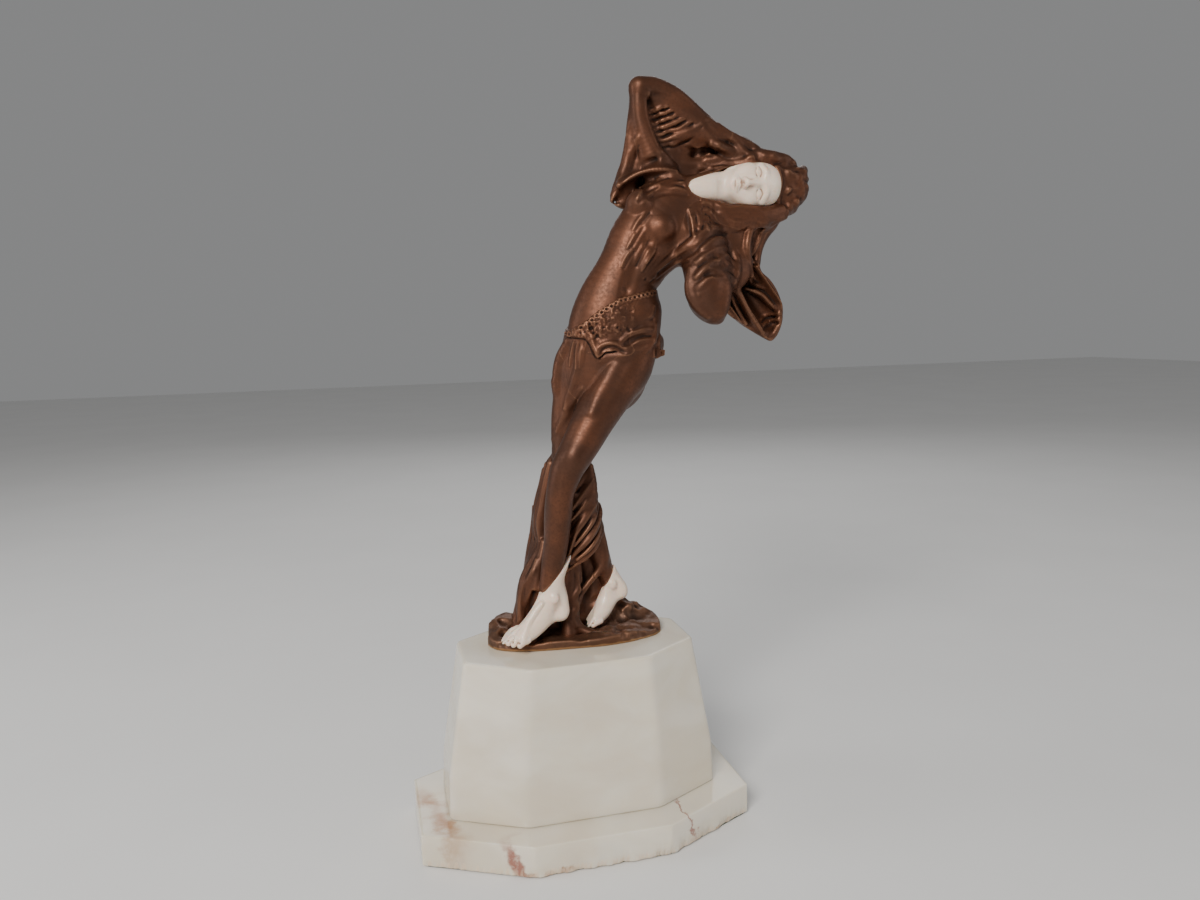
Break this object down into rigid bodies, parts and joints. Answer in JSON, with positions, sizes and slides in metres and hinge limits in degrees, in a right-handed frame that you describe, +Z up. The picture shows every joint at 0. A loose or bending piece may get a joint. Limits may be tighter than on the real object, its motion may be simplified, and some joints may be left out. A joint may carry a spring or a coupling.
{
  "type": "statuette",
  "caption": "Veiled dancer on tiptoe in patinated bronze with ivory face and feet, on a stepped octagonal onyx base",
  "frame": {"origin": "centre of the underside of the base", "axes": "+Z up, the dancer faces -Y, +X to the viewer's right"},
  "size_m": [0.347, 0.1764, 0.6065],
  "materials": {
    "onyx": "polished, faintly translucent onyx marble",
    "bronze": "brown patinated cast bronze, rubbed coppery on the high places",
    "ivory": "smooth carved ivory-white, softly polished",
    "steel": "plain machined steel",
    "dowel_brass": "drawn brass rod",
    "felt": "green baize"
  },
  "bodies": {
    "root": {"base_felt": "felt", "plinth": "onyx", "block": "onyx", "tie_rods": "steel", "tie_washers": "steel", "tie_nuts": "steel", "hip_pins": "steel", "ankle_dowels": "dowel_brass", "toe_dowels": "dowel_brass", "shoulder_pins": "steel", "neck_dowel": "dowel_brass", "hood_pin": "dowel_brass", "sleeve_pin": "dowel_brass", "veil_screws": "steel", "terrace": "bronze", "left_foot": "ivory", "right_foot": "ivory", "face_and_neck": "ivory", "front_leg": "bronze", "rear_leg": "bronze", "torso": "bronze", "hip_sash": "bronze", "raised_arm": "bronze", "lowered_arm": "bronze", "hood": "bronze", "shoulder_veil": "bronze", "sleeve_fold": "bronze", "veil_fall": "bronze", "shin_wrap": "bronze"}
  },
  "joints": []
}
